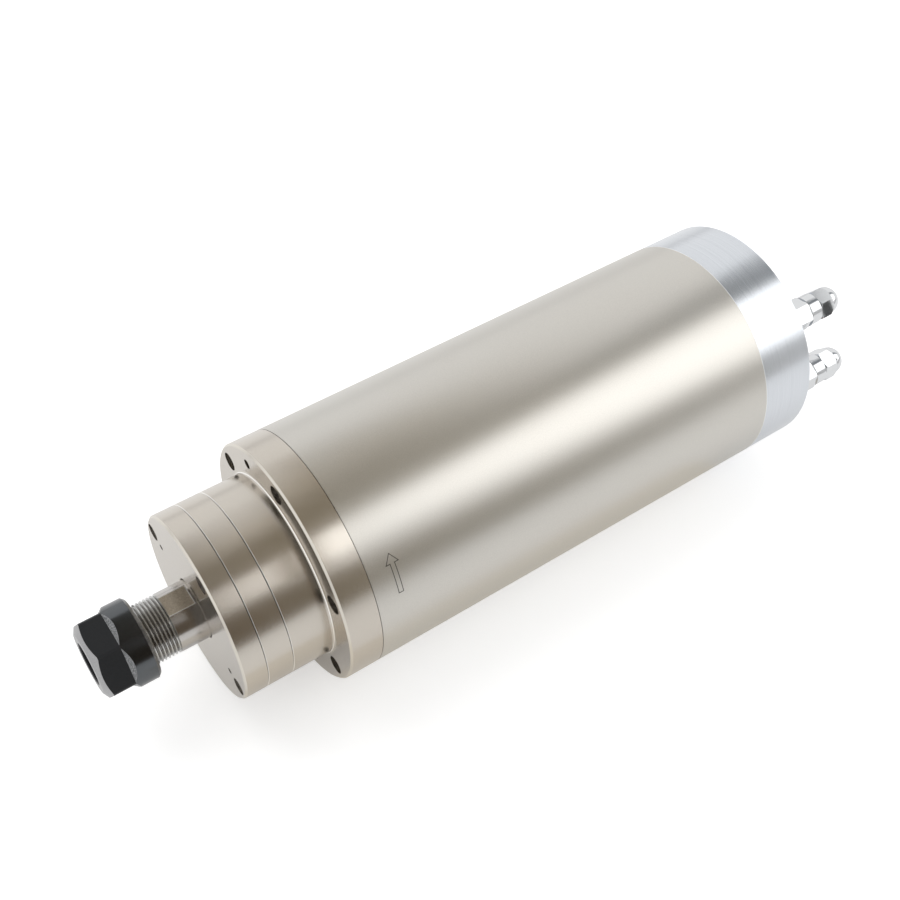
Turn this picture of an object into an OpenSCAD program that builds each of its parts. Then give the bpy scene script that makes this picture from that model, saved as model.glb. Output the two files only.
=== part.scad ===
// Water-cooled motor spindle with a collet nose, lying along X.
// The origin is on the spindle axis at the middle of the body tube.
// +X runs from the nose to the rear and +Z is up. Angles turn from +Z towards -Y about the axis.

/* [Body tube] */
// Outer diameter of the tube, the flange and the rear cover
body_d = 105; // [100:0.5:112]
// Length of the body tube
tube_len = 200; // [185:1:260]
// Wall of the body tube
tube_wall = 4; // [3:0.25:5]
// Chamfer on the outer edges of the casing
edge_c = 0.8; // [0.3:0.1:1.2]
// Chamfer that draws each seam between two casings
seam_c = 0.25; // [0.1:0.05:0.5]

/* [Front housing] */
// Thickness of the flange behind the nose
flange_t = 14.5; // [12:0.5:20]
// Wall of the nose outside the front bearings
nose_wall = 9; // [8:0.25:10]
// Length of the housing's own nose, in front of the flange
housing_nose = 18; // [14:0.5:24]
// Fillet where the nose meets the flange
root_fillet = 1.3; // [0.5:0.1:2.5]
// Height of the lip that backs the second front bearing
housing_lip_h = 7; // [5:0.5:8]
// Width of that lip
housing_lip_w = 5; // [3:0.5:8]
// Clearance of the screw heads in the flange and the rear cover, across the diameter
flange_recess_gap = 1; // [0.4:0.1:1.6]
// Depth of the screw recesses in the flange
flange_recess_depth = 7; // [5:0.5:9]
// Diameter of the two jack-screw holes in the flange
flange_jack_d = 4.2; // [3:0.1:5]
// Angle of the first jack-screw hole in the flange
flange_jack_angle = -30; // [-35:1:-25]

/* [Clamp ring and front cover] */
// Thickness of the ring that clamps the front bearings
ring_t = 11; // [9:0.5:14]
// Clearance of the front locknut in the clamp ring
locknut_gap = 1.5; // [1:0.1:2.5]
// How far the clamp ring's lip enters the bearing bore
clamp_lip = 1; // [0.5:0.1:2]
// Thickness of the front cover
cover_t = 10; // [8:0.5:14]
// Front wall of the cover, over the labyrinth ring
cover_wall = 3; // [2:0.25:3.5]
// Gap between the shaft and the hole in the cover
cover_gap = 0.5; // [0.3:0.05:1]
// Distance of the cover screws from the nose's edge
cover_screw_edge = 5; // [4.5:0.1:5.5]
// Angle of the first cover screw
cover_screw_angle = 20; // [0:1:45]
// Clearance of the screw heads in the cover, across the diameter
cover_recess_gap = 0.4; // [0.2:0.1:0.8]
// Depth of the screw recesses in the cover
cover_recess_depth = 5; // [4.2:0.1:6]
// Circle of the two jack-screw holes in the cover
cover_jack_pcd = 56; // [54:0.5:58]
// Diameter of those holes
cover_jack_d = 2.5; // [2:0.1:3]
// Angle of the first of them
cover_jack_angle = 110; // [105:1:115]

/* [Socket screws] */
// Diameter of every casing screw
screw_d = 4; // [3:0.1:4.2]
// Head diameter of the casing screws
head_d = 7; // [6:0.1:7.1]
// Head height of the casing screws
head_h = 4; // [3:0.1:4.1]
// Key size of the casing screws
key_af = 3; // [2:0.1:3.5]
// Depth of the key socket
key_depth = 2.4; // [1.5:0.1:3]
// How far a screw reaches into its tapped hole
screw_bite = 12; // [8:0.5:14]
// Free depth left below a screw's end
tap_spare = 1; // [0.5:0.1:2]
// Clearance of a screw in its hole, across the diameter
screw_gap = 0.3; // [0.1:0.05:0.6]
// Number of flange screws
flange_screw_count = 6; // [4:1:8]
// Number of cover screws
cover_screw_count = 4; // [3:1:6]
// Number of rear cover screws
rear_screw_count = 6; // [6:1:6]
// Angle of the first rear cover screw
rear_screw_angle = 4; // [0:1:8]
// Depth of the screw recesses in the rear cover
rear_recess_depth = 8; // [5:0.5:12]

/* [Water jacket] */
// Wall of the jacket
jacket_wall = 6; // [5.6:0.1:7]
// How far the screw circle lies outside the jacket's bore
screw_inset = 3.5; // [3:0.1:3.6]
// Width of a water groove
groove_w = 10; // [6:0.5:14]
// Width of the land between two grooves
groove_land = 4; // [3:0.5:6]
// Depth of a water groove
groove_depth = 2.5; // [1.5:0.1:3.2]
// Plain length at each end of the jacket
jacket_end = 26; // [24:0.5:30]
// Width of the dam beside the return channel
dam_w = 30; // [24:1:36]
// Width of the return channel
return_w = 6; // [4:0.5:8]
// Width of the windows that join one groove to the next
window_w = 8; // [5:0.5:10]
// Section of the two jacket seals
seal_d = 1.6; // [1:0.1:1.8]
// Distance of the jacket seals from the jacket's ends
seal_inset = 19; // [17:0.5:21]

/* [Stator and rotor] */
// Iron left outside the stator slots
back_iron = 5; // [4:0.5:6]
// Number of stator slots
slot_count = 24; // [18:6:24]
// Mouth of a stator slot
slot_mouth = 2.4; // [1.5:0.1:3]
// Depth of the tooth tips
tooth_tip = 1.5; // [1:0.1:2.5]
// Depth of a slot behind the tooth tips
slot_depth = 7.5; // [6:0.1:8]
// Width of a stator tooth
tooth_w = 3.8; // [3:0.1:4.4]
// Length of the end turns of the windings
end_turn_len = 20; // [16:0.5:21]
// Free space between the end turns and the casings
end_turn_gap = 5.75; // [4:0.25:8]
// Insulation gap between the windings and the iron
coil_gap = 0.2; // [0.1:0.05:0.4]
// Air gap between the stator and the rotor
air_gap = 0.5; // [0.3:0.05:0.8]
// Number of rotor bars
bar_count = 28; // [18:1:30]
// Diameter of a rotor bar
bar_d = 4; // [3:0.1:4.5]
// Iron left outside a rotor bar
bar_cover = 1; // [0.6:0.1:2]
// Width of the rotor's end rings
end_ring_w = 6; // [4:0.5:8]
// Width of the balance rings
balance_w = 8; // [5:0.5:9]
// How far the balance rings lie inside the rotor's surface
balance_step = 3; // [2:0.5:5]
// Radial thickness of the rotor core
core_t = 10.5; // [9:0.5:12]

/* [Shaft] */
// Diameter of the shaft's thread and neck
thread_d = 25; // [24:0.1:25.2]
// Pitch of the nose thread
thread_pitch = 1.5; // [1:0.25:1.5]
// Length of the nose thread
thread_len = 22.1; // [20:0.5:26]
// Length of the flats behind the thread
flat_len = 10.9; // [8:0.1:14]
// Depth of each spanner flat
flat_depth = 1; // [0.5:0.1:1.5]
// Round neck left between the flats and the cover
neck_out = 1; // [0.8:0.1:4]
// Height of the shoulder behind the front bearings
shoulder_h = 5; // [3.5:0.5:6]
// Height of the shoulder before the rear bearing
rear_shoulder_h = 3; // [2:0.5:4]
// Length of shaft past the rear locknut
tail_len = 1.5; // [1:0.5:5]
// Depth of the drawbore behind the collet's taper
relief_len = 6; // [4:0.5:10]
// Diameter of the blind hole in the shaft
blind_d = 8.4; // [6:0.2:10]
// Length of the blind hole
blind_len = 26; // [15:1:40]
// Running gap of each piece that turns
run_gap = 0.3; // [0.2:0.05:0.4]

/* [Labyrinth and locknuts] */
// Outer diameter of the labyrinth ring
labyrinth_d = 37; // [34:0.5:39]
// Depth and width of the labyrinth's grooves
labyrinth_groove = 1.2; // [0.6:0.1:1.5]
// Width of both locknuts
locknut_w = 8; // [6:0.5:9]
// Radial thickness of both locknuts
locknut_t = 6.5; // [5:0.25:7]
// Width of the spanner slots in the locknuts
spanner_w = 5; // [4:0.5:6]
// Depth of the spanner slots
spanner_depth = 2; // [1:0.25:2.5]

/* [Front bearings] */
// Bore of the front bearings
front_bore = 30; // [29:0.5:31]
// Outer diameter of the front bearings
front_od = 62; // [61:0.5:63]
// Width of each front bearing
front_w = 16; // [14:0.5:18]
// Ball diameter of the front bearings
front_ball = 9.5; // [8:0.1:10]
// Number of balls in each front bearing
front_ball_count = 13; // [9:1:13]
// Width of the spacers between the front bearings
spacer_w = 4; // [2:0.5:8]

/* [Rear bearing] */
// Bore of the rear bearing
rear_bore = 25; // [24:0.5:26]
// Outer diameter of the rear bearing
rear_od = 52; // [50:0.5:54]
// Width of the rear bearing
rear_w = 15; // [13:0.5:17]
// Ball diameter of the rear bearing
rear_ball = 7.9; // [7:0.1:8.4]
// Number of balls in the rear bearing
rear_ball_count = 13; // [9:1:13]
// Height of the preload washer
washer_h = 2.5; // [2:0.1:3.5]
// Thickness of the preload washer's steel
washer_t = 1.1; // [0.8:0.1:1.4]

/* [Bearing details] */
// Half of the gap between the bearing rings, beside the balls
land_gap = 2.4; // [2:0.1:2.8]
// Half the thickness of a ball cage
cage_half = 1.5; // [1:0.1:1.8]
// How far a cage stands past its balls on each side
cage_rim = 1.4; // [1:0.1:2]
// Gap around each ball
ball_gap = 0.2; // [0.15:0.05:0.3]

/* [Collet] */
// Tool bore of the collet
tool_d = 8; // [3:0.5:10]
// Largest diameter of the collet's taper
collet_d = 21; // [20.6:0.1:21.2]
// Length of the collet
collet_len = 31.5; // [30:0.5:33]
// Half angle of the collet's taper
taper_angle = 8; // [7:0.5:8]
// Length of the collet's front cone
face_cone_len = 2.9; // [2:0.1:3.5]
// Half angle of the collet's front cone
face_cone_angle = 30; // [25:1:35]
// Width of the rim behind the front cone
collet_rim_w = 1; // [0.6:0.1:1.5]
// Width of the extraction groove
collet_groove_w = 2.3; // [2:0.1:3]
// Depth of the extraction groove
collet_groove_depth = 1.6; // [1.2:0.1:2]
// How far the taper stands out of the shaft
collet_out = 2.2; // [1.5:0.1:3]
// Slots from each end of the collet
collet_slots = 6; // [4:1:6]
// Angle of the first slot
collet_slot_angle = 8; // [7:1:8]
// Width of a collet slot
collet_slot_w = 0.6; // [0.4:0.1:0.8]
// Solid bridge left at the closed end of each slot
slot_bridge = 4.5; // [3:0.5:8]
// Gap between the collet and its seats
collet_gap = 0.1; // [0.05:0.05:0.2]

/* [Collet nut] */
// Diameter of the nut's collar
nut_d = 34; // [33:0.5:36]
// Distance across the nut's flats
nut_af = 30; // [29:0.5:31]
// Angle of the slope where a flat runs out into the collar
nut_runout_angle = 45; // [40:5:60]
// Length of the nut's collar
nut_collar = 10.6; // [9:0.5:13]
// Length of the nut's hexagon, with its cone
nut_hex = 11.4; // [9.5:0.5:14]
// Diameter of the nut's front face
nut_face_d = 25; // [22:0.5:27]
// Half angle of the cone between the face and the hexagon
nut_cone_angle = 62; // [45:1:70]
// Rounding chamfer at the rear of the collar
nut_rear_c = 1.2; // [0.5:0.1:2]
// Opening in the nut's front face
nut_open_d = 17; // [15:0.5:18]
// Width of the lip that draws the collet out
nut_lip_w = 1.3; // [0.8:0.1:1.6]
// How far that lip reaches into the collet's groove
nut_lip_reach = 0.9; // [0.4:0.1:1.2]
// Gap between the nut's thread and the shaft's
thread_gap = 0.11; // [0.05:0.01:0.2]

/* [Rear cover] */
// Length of the rear cover
rear_len = 27; // [24:0.5:34]
// Thickness of the rear cover's end wall
rear_wall = 12; // [11:0.5:14]
// Section of the rear cover's seal
rear_seal_d = 1.8; // [1.4:0.1:2.2]
// Depth of the rear bearing's lip in its seat
seat_lip = 3; // [2:0.5:5]
// Height of that lip
seat_lip_h = 5; // [4:0.5:6]
// How far the seat reaches behind the rear bearing
seat_tail = 3.5; // [2:0.5:6]
// Thickness of the seat's outer web
seat_web = 14; // [10:0.5:16]
// Wall of the seat's hub round the rear bearing
seat_hub_wall = 3.5; // [3:0.25:4]
// Wall between that hub and the hole for the phase leads
lead_wall = 0.5; // [0.2:0.1:1]
// Clearance of the phase leads in their hole
lead_gap = 0.25; // [0.1:0.05:0.5]

/* [Water fittings] */
// How far a port's axis lies inside the drilled way to the jacket
port_inset = 4; // [3:0.25:5]
// Angle of the inlet
inlet_angle = 42; // [40:1:44]
// Angle of the outlet
outlet_angle = 86; // [84:1:88]
// Thread diameter of the fittings
port_d = 9; // [8:0.1:9.4]
// Floor left behind a threaded port
port_floor = 1; // [0.5:0.25:3]
// Diameter of the drilled way to the jacket
way_d = 3; // [2:0.1:3.2]
// How far the drilled way lies outside the jacket's bore
way_inset = 2.5; // [2.2:0.1:2.8]
// Thickness of the sealing washer
port_washer_t = 1.2; // [0.8:0.1:2]
// Distance across the fitting's hexagon
port_hex_af = 13; // [12:0.5:14]
// Length of the fitting's hexagon
port_hex_len = 9.8; // [8:0.1:16]
// Diameter of the round collar in front of the nut
port_collar_d = 14; // [13:0.5:15]
// Length of that collar
port_collar_len = 5.5; // [4:0.5:8]
// Diameter of the spigot that the nut screws on
spigot_d = 11; // [10.6:0.1:11.2]
// Length of the spigot
spigot_len = 4.5; // [4:0.25:5]
// Distance across the nut's flats
port_nut_af = 13; // [13:0.5:15]
// Length of the nut, with its round end
port_nut_len = 12; // [11.5:0.25:14]
// Diameter of the nut's round end at its tip
port_tip_d = 9.4; // [9:0.1:10]
// How much smaller than the flats the ball of the round end is
port_ball_less = 0.1; // [0.1:0.1:0.6]
// Angle at which the inlet's nut stopped when it was tightened
inlet_nut_turn = 7; // [0:1:30]
// Gap between the nut and the collar
port_nut_gap = 0.5; // [0.3:0.1:1]
// Bore for the water hose
hose_d = 8.2; // [7:0.1:8.3]
// Depth of the hose bore
hose_depth = 9; // [8:0.5:14]
// Way for the water behind the hose
water_way_d = 5; // [3:0.1:6]
// Length of the ferrule
ferrule_len = 2.6; // [2:0.1:3]

/* [Connector] */
// How far the connector's axis lies inside the edge of the space in the rear cover
plug_inset = 5; // [4:0.5:6]
// Angle of the connector
plug_angle = 214; // [210:1:218]
// Side of the connector's square flange
plug_flange = 25; // [24:0.5:26]
// Thickness of that flange
plug_flange_t = 2.5; // [2:0.25:4]
// Corner radius of that flange
plug_corner = 3; // [2:0.25:4]
// Distance of the connector's screws from the flange's edges
plug_screw_inset = 3; // [2.8:0.1:3.2]
// Diameter of the connector's screws
plug_screw_d = 2.5; // [2:0.1:2.6]
// Length of the connector's screws below the flange
plug_screw_len = 7; // [4:0.5:9]
// Outer diameter of the connector's barrel
plug_barrel_d = 19; // [18:0.5:20]
// Wall of the connector's barrel
plug_barrel_wall = 1.5; // [1:0.1:2]
// Height of the barrel above the flange
plug_barrel_h = 11.5; // [9:0.5:14]
// Depth of the free mouth above the pins
plug_mouth = 5; // [4.4:0.1:6]
// Thickness of the connector's gasket
plug_gasket_t = 0.8; // [0.5:0.1:1.5]
// Height of the insulator above the flange's underside
plug_insert_h = 4; // [3:0.25:5]
// Number of contact pins
pin_count = 4; // [3:1:4]
// Diameter of a contact pin
pin_d = 2.4; // [2:0.1:3]
// Circle of the contact pins
pin_pcd = 8.4; // [8:0.1:9]
// Diameter of a phase lead
lead_d = 2.2; // [1.6:0.1:2.4]

/* [Hidden] */
$fn = 96;

body_r = body_d / 2;
nose_r = front_od / 2 + nose_wall;
jacket_r = body_r - tube_wall;
jacket_ir = jacket_r - jacket_wall;
casing_screw_r = jacket_ir + screw_inset;
way_r = jacket_ir + way_inset;
port_r = way_r - port_inset;
port_depth = rear_wall - port_floor;
hole_d = screw_d + screw_gap;
flange_recess_d = head_d + flange_recess_gap;
cover_recess_d = head_d + cover_recess_gap;
cover_screw_r = nose_r - cover_screw_edge;

x_tube = -tube_len / 2;
x_back = tube_len / 2;
x_flange = x_tube - flange_t;
x_ring = x_flange - housing_nose;
x_cover = x_ring - ring_t;
x_nose = x_cover - cover_t;
x_rear = x_back + rear_len;
x_space = x_rear - rear_wall;

x_front1 = x_ring + clamp_lip;
x_spacer = x_front1 + front_w;
x_front2 = x_spacer + spacer_w;
x_lip = x_front2 + front_w;
x_hub = x_lip + housing_lip_w;
x_seat = x_back - seat_tail - rear_w - washer_h - seat_lip;
x_washer = x_seat + seat_lip;
x_bearing = x_washer + washer_h;
x_locknut = x_bearing + rear_w;

stator_len = x_seat - x_hub - 2 * (end_turn_len + end_turn_gap);
x_stator = x_hub + end_turn_gap + end_turn_len;
x_stator_end = x_stator + stator_len;
slot_r1 = jacket_ir - back_iron;
slot_r0 = slot_r1 - slot_depth;
stator_r = slot_r0 - tooth_tip;
rotor_r = stator_r - air_gap;
bar_r = rotor_r - bar_cover - bar_d / 2;
core_r = rotor_r - core_t;
end_ring_r = rotor_r - 0.2;
balance_r = rotor_r - balance_step;
x_core_seat = x_stator_end + end_ring_w + balance_w + 1;

neck_r = thread_d / 2;
thread_root_r = neck_r - 0.6134 * thread_pitch;
x_flats = x_nose - neck_out;
x_thread = x_flats - flat_len;
x_shaft = x_thread - thread_len;
x_tail = x_locknut + locknut_w + tail_len;
front_r = front_bore / 2;
ring_bore_r = front_r + locknut_t + locknut_gap;
cover_hole_r = neck_r + cover_gap;
rear_r = rear_bore / 2;

hub_r = rear_od / 2 + seat_hub_wall;
lead_bunch_r = lead_d * 0.75;
lead_hole_r = lead_bunch_r + lead_d / 2 + lead_gap;
lead_r = hub_r + lead_wall + lead_hole_r;
space_r = lead_r + lead_hole_r;
plug_r = space_r - plug_inset;
seal_mid_r = (space_r + way_r - way_d / 2) / 2;

collet_r = collet_d / 2;
taper = tan(taper_angle);
taper_len = collet_len - face_cone_len - collet_rim_w - collet_groove_w;
x_taper = x_shaft - collet_out;
x_collet = x_taper - collet_groove_w - collet_rim_w - face_cone_len;
x_collet_end = x_collet + collet_len;
rim_r = collet_r - 0.25;
face_r = rim_r - face_cone_len * tan(face_cone_angle);
groove_r = collet_r - collet_groove_depth;
seat_r = collet_r - collet_out * taper + collet_gap;

nut_len = nut_collar + nut_hex;
x_nut_end = x_shaft + nut_collar + 0.7;
x_nut = x_nut_end - nut_len;
x_nut_hex = x_nut_end - nut_collar;
nut_thread_r = thread_root_r + thread_gap;
nut_cone = (nut_d - nut_face_d) / 2 / tan(nut_cone_angle);

groove_pitch = groove_w + groove_land;
groove_span = tube_len - 2 * jacket_end;
groove_count = floor((groove_span + groove_land) / groove_pitch);
x_groove = -(groove_count * groove_pitch - groove_land) / 2;

x_port_hex = port_washer_t;
x_port_collar = x_port_hex + port_hex_len;
x_spigot = x_port_collar + port_collar_len;
x_port_nut = x_spigot + port_nut_gap;
x_ferrule = x_spigot + spigot_len + 0.1;
x_port_tip = x_port_nut + port_nut_len;

// Turns a profile about the spindle axis: its x is the radius and its y runs along +X.
module turned() {
    rotate([0, 90, 0])
        rotate_extrude()
            children();
}

// A ring about the axis from one radius to another.
module ring(x0, x1, r_in, r_out) {
    turned()
        translate([r_in, x0])
            square([r_out - r_in, x1 - x0]);
}

// A round bar along X.
module bar(x0, x1, d) {
    translate([x0, 0, 0])
        rotate([0, 90, 0])
            cylinder(d = d, h = x1 - x0);
}

// A hexagonal bar along X, with a flat towards +Z.
module hex_bar(x0, x1, af) {
    translate([x0, 0, 0])
        rotate([0, 90, 0])
            rotate([0, 0, 30])
                cylinder(r = af / sqrt(3), h = x1 - x0, $fn = 6);
}

// Places children at one angle and distance from the axis.
module at(angle, r) {
    rotate([angle, 0, 0])
        translate([0, 0, r])
            children();
}

// Repeats children evenly about the axis.
module around(count, first, r) {
    for (i = [0 : count - 1])
        at(first + i * 360 / count, r)
            children();
}

// A socket screw along +X, with the underside of its head at x = 0.
module socket_screw(reach) {
    difference() {
        union() {
            bar(-head_h, 0, head_d);
            bar(-0.01, reach, screw_d);
        }
        hex_bar(-head_h - 1, -head_h + key_depth, key_af);
    }
}

// The hole that a socket screw passes through, with the recess for its head.
module screw_way(reach, recess_d, recess_depth) {
    bar(-recess_depth - 1, 0, recess_d);
    bar(-1, reach, hole_d);
}

// Casing

module front_cover() {
    lab_r = labyrinth_d / 2 + run_gap;
    color([0.80, 0.76, 0.70])
        difference() {
            turned()
                polygon([
                    [cover_hole_r, x_nose + 0.4],
                    [cover_hole_r + 0.4, x_nose],
                    [nose_r - edge_c, x_nose],
                    [nose_r, x_nose + edge_c],
                    [nose_r, x_cover - seam_c],
                    [nose_r - seam_c, x_cover],
                    [lab_r, x_cover],
                    [lab_r, x_nose + cover_wall],
                    [cover_hole_r, x_nose + cover_wall]
                ]);
            around(cover_screw_count, cover_screw_angle, cover_screw_r)
                translate([x_nose + cover_recess_depth, 0, 0])
                    screw_way(cover_t, cover_recess_d, cover_recess_depth);
            around(2, cover_jack_angle, cover_jack_pcd / 2)
                bar(x_nose - 1, x_cover + 1, cover_jack_d);
        }
}

module front_cover_screws() {
    color([0.30, 0.30, 0.31])
        around(cover_screw_count, cover_screw_angle, cover_screw_r)
            translate([x_nose + cover_recess_depth, 0, 0])
                socket_screw(cover_t - cover_recess_depth + ring_t + screw_bite);
}

module bearing_clamp_ring() {
    lip_r = front_od / 2 - 0.05;
    color([0.79, 0.75, 0.69])
        difference() {
            turned()
                polygon([
                    [ring_bore_r, x_cover],
                    [nose_r - seam_c, x_cover],
                    [nose_r, x_cover + seam_c],
                    [nose_r, x_ring - seam_c],
                    [nose_r - seam_c, x_ring],
                    [lip_r, x_ring],
                    [lip_r, x_ring + clamp_lip],
                    [front_od / 2 - 5, x_ring + clamp_lip],
                    [front_od / 2 - 5, x_ring - 2],
                    [ring_bore_r, x_ring - 2]
                ]);
            around(cover_screw_count, cover_screw_angle, cover_screw_r)
                bar(x_cover - 1, x_ring + 2, hole_d);
        }
}

module front_housing() {
    bearing_r = front_od / 2;
    color([0.78, 0.74, 0.68])
        difference() {
            union() {
                turned()
                    polygon([
                        [bearing_r, x_ring],
                        [nose_r - seam_c, x_ring],
                        [nose_r, x_ring + seam_c],
                        [nose_r, x_flange],
                        [body_r - edge_c, x_flange],
                        [body_r, x_flange + edge_c],
                        [body_r, x_tube - seam_c],
                        [body_r - seam_c, x_tube],
                        [jacket_ir, x_tube],
                        [jacket_ir, x_hub],
                        [bearing_r - housing_lip_h, x_hub],
                        [bearing_r - housing_lip_h, x_lip],
                        [bearing_r, x_lip]
                    ]);
                root_fillet_ring();
            }
            around(flange_screw_count, 0, casing_screw_r)
                translate([x_flange + flange_recess_depth, 0, 0])
                    screw_way(flange_t, flange_recess_d, flange_recess_depth);
            around(2, flange_jack_angle, casing_screw_r)
                bar(x_flange - 1, x_tube + 1, flange_jack_d);
            around(cover_screw_count, cover_screw_angle, cover_screw_r)
                bar(x_ring - 1, x_ring + screw_bite + tap_spare, hole_d);
        }
}

// The small fillet between the nose and the flange's front face.
module root_fillet_ring() {
    turned()
        difference() {
            translate([nose_r - 0.5, x_flange - root_fillet])
                square([root_fillet + 0.5, root_fillet + 0.5]);
            translate([nose_r + root_fillet, x_flange - root_fillet])
                circle(r = root_fillet);
        }
}

module flange_screws() {
    color([0.30, 0.30, 0.31])
        around(flange_screw_count, 0, casing_screw_r)
            translate([x_flange + flange_recess_depth, 0, 0])
                socket_screw(flange_t - flange_recess_depth + screw_bite);
}

module body_tube() {
    color([0.82, 0.80, 0.76])
        ring(x_tube, x_back, jacket_r, body_r);
}

module water_jacket() {
    groove_floor = jacket_r - groove_depth;
    color([0.72, 0.74, 0.76])
        difference() {
            ring(x_tube, x_back, jacket_ir, jacket_r);
            jacket_grooves(groove_floor);
            jacket_windows(groove_floor);
            return_channel(groove_floor);
            at(inlet_angle, way_r)
                bar(x_groove + (groove_count - 1) * groove_pitch + 1, x_back + 1, way_d);
            seal_groove(x_tube + seal_inset);
            seal_groove(x_back - seal_inset);
            around(flange_screw_count, 0, casing_screw_r)
                bar(x_tube - 1, x_tube + screw_bite + tap_spare, hole_d);
            around(rear_screw_count, rear_screw_angle, casing_screw_r)
                bar(x_back - screw_bite - tap_spare, x_back + 1, hole_d);
        }
}

// Annular grooves. All but the first stop at a dam, which holds the return channel.
module jacket_grooves(floor_r) {
    difference() {
        for (i = [0 : groove_count - 1])
            ring(x_groove + i * groove_pitch, x_groove + i * groove_pitch + groove_w,
                floor_r, jacket_r + 1);
        at(outlet_angle, jacket_r)
            translate([x_groove + groove_w, -dam_w / 2, -jacket_r / 3])
                cube([tube_len, dam_w, jacket_r]);
    }
}

// Windows through the lands, on alternate sides of the dam.
module jacket_windows(floor_r) {
    for (i = [0 : groove_count - 2]) {
        hand = (i % 2 == 0) ? 1 : -1;
        step = asin((dam_w + window_w) / 2 / jacket_r);
        at(outlet_angle + hand * step, floor_r)
            translate([x_groove + i * groove_pitch + groove_w - 1, -window_w / 2, 0])
                cube([groove_land + 2, window_w, groove_depth + 3]);
    }
}

// The way back along the dam, from the first groove to the outlet's drilling.
module return_channel(floor_r) {
    channel_end = x_back - jacket_end;
    at(outlet_angle, floor_r)
        translate([x_groove + 1, -return_w / 2, 0])
            cube([channel_end - x_groove - 1, return_w, groove_depth + 3]);
    at(outlet_angle, way_r)
        bar(channel_end - return_w, x_back + 1, way_d);
}

module seal_groove(x_mid) {
    half = seal_d / 2 + 0.3;
    ring(x_mid - half, x_mid + half, jacket_r - seal_d, jacket_r + 1);
}

module jacket_seal(x_mid) {
    color([0.10, 0.10, 0.10])
        turned()
            translate([jacket_r - seal_d / 2, x_mid])
                circle(d = seal_d);
}

module jacket_seal_front() {
    jacket_seal(x_tube + seal_inset);
}

module jacket_seal_rear() {
    jacket_seal(x_back - seal_inset);
}

// Motor

// Width of a slot at one radius, between two parallel-sided teeth.
function slot_width(r) = 2 * PI * r / slot_count - tooth_w;

// Outline of one slot, shrunk by a gap.
module slot_outline(gap) {
    half0 = slot_width(slot_r0) / 2 - gap;
    half1 = slot_width(slot_r1) / 2 - gap;
    polygon([
        [slot_r0 + gap, -half0],
        [slot_r1 - gap, -half1],
        [slot_r1 - gap, half1],
        [slot_r0 + gap, half0]
    ]);
}

module stator_core() {
    color([0.45, 0.46, 0.48])
        translate([x_stator, 0, 0])
            rotate([0, 90, 0])
                linear_extrude(height = stator_len)
                    difference() {
                        circle(r = jacket_ir);
                        circle(r = stator_r);
                        for (i = [0 : slot_count - 1])
                            rotate(i * 360 / slot_count) {
                                slot_outline(0);
                                translate([stator_r - 1, -slot_mouth / 2])
                                    square([tooth_tip + 1.2, slot_mouth]);
                            }
                    }
}

module stator_windings() {
    color([0.72, 0.42, 0.20])
        union() {
            end_turns(x_stator - end_turn_len, x_stator - 1.5);
            end_turns(x_stator_end + 1.5, x_stator_end + end_turn_len);
            translate([x_stator - 2, 0, 0])
                rotate([0, 90, 0])
                    linear_extrude(height = stator_len + 4)
                        for (i = [0 : slot_count - 1])
                            rotate(i * 360 / slot_count)
                                slot_outline(coil_gap);
        }
}

// The bundle of wire that joins the slots at one end of the stator.
module end_turns(x0, x1) {
    soft = 1.5;
    r0 = slot_r0;
    r1 = jacket_ir - 1;
    turned()
        polygon([
            [r0, x0 + soft],
            [r0 + soft, x0],
            [r1 - soft, x0],
            [r1, x0 + soft],
            [r1, x1 - soft],
            [r1 - soft, x1],
            [r0 + soft, x1],
            [r0, x1 - soft]
        ]);
}

module rotor_core() {
    color([0.50, 0.51, 0.53])
        translate([x_stator, 0, 0])
            rotate([0, 90, 0])
                linear_extrude(height = stator_len)
                    difference() {
                        circle(r = rotor_r);
                        circle(r = core_r);
                        for (i = [0 : bar_count - 1])
                            rotate(i * 360 / bar_count)
                                translate([bar_r, 0])
                                    circle(d = bar_d, $fn = 32);
                    }
}

// The cast bars and their two end rings.
module rotor_cage() {
    color([0.78, 0.79, 0.80])
        union() {
            ring(x_stator - end_ring_w, x_stator, core_r + 1, end_ring_r);
            ring(x_stator_end, x_stator_end + end_ring_w, core_r + 1, end_ring_r);
            around(bar_count, 0, bar_r)
                bar(x_stator - 1, x_stator_end + 1, bar_d, $fn = 32);
        }
}

module balance_ring(x0) {
    color([0.70, 0.58, 0.30])
        difference() {
            ring(x0, x0 + balance_w, core_r, balance_r);
            for (i = [0 : 11])
                at(i * 30, (core_r + balance_r) / 2)
                    bar(x0 - 1, x0 + balance_w + 1, 3, $fn = 24);
        }
}

module balance_ring_front() {
    balance_ring(x_stator - end_ring_w - balance_w);
}

module balance_ring_rear() {
    balance_ring(x_stator_end + end_ring_w);
}

// Shaft

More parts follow.
